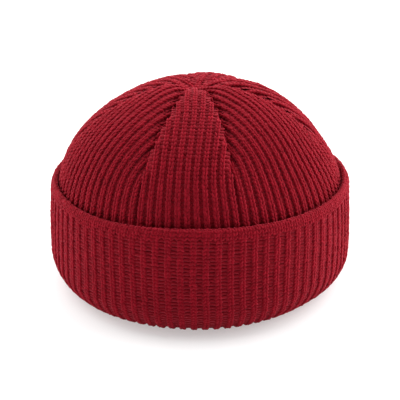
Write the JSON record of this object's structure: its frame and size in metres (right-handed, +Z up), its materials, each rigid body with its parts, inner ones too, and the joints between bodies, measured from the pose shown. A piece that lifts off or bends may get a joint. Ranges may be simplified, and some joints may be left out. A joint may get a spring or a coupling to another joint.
{
  "type": "fisherman beanie",
  "caption": "Chunky rib-knit beanie: a low domed crown drawn in by darts, with a deep turned-up cuff, open underneath for the head.",
  "frame": {"origin": "middle of the hat's base, on the surface that the fold of the cuff stands on", "axes": "+Z up through the closure of the crown, -Y towards the front, +X to the right of someone who looks at the front"},
  "size_m": [0.1856, 0.1856, 0.122],
  "materials": {
    "crown_yarn": "deep red rib knit, soft and matt",
    "cuff_yarn": "deep red rib knit, soft and matt, a little deeper than the crown"
  },
  "bodies": {
    "root": {"crown": "crown_yarn", "cuff": "cuff_yarn"}
  },
  "joints": []
}
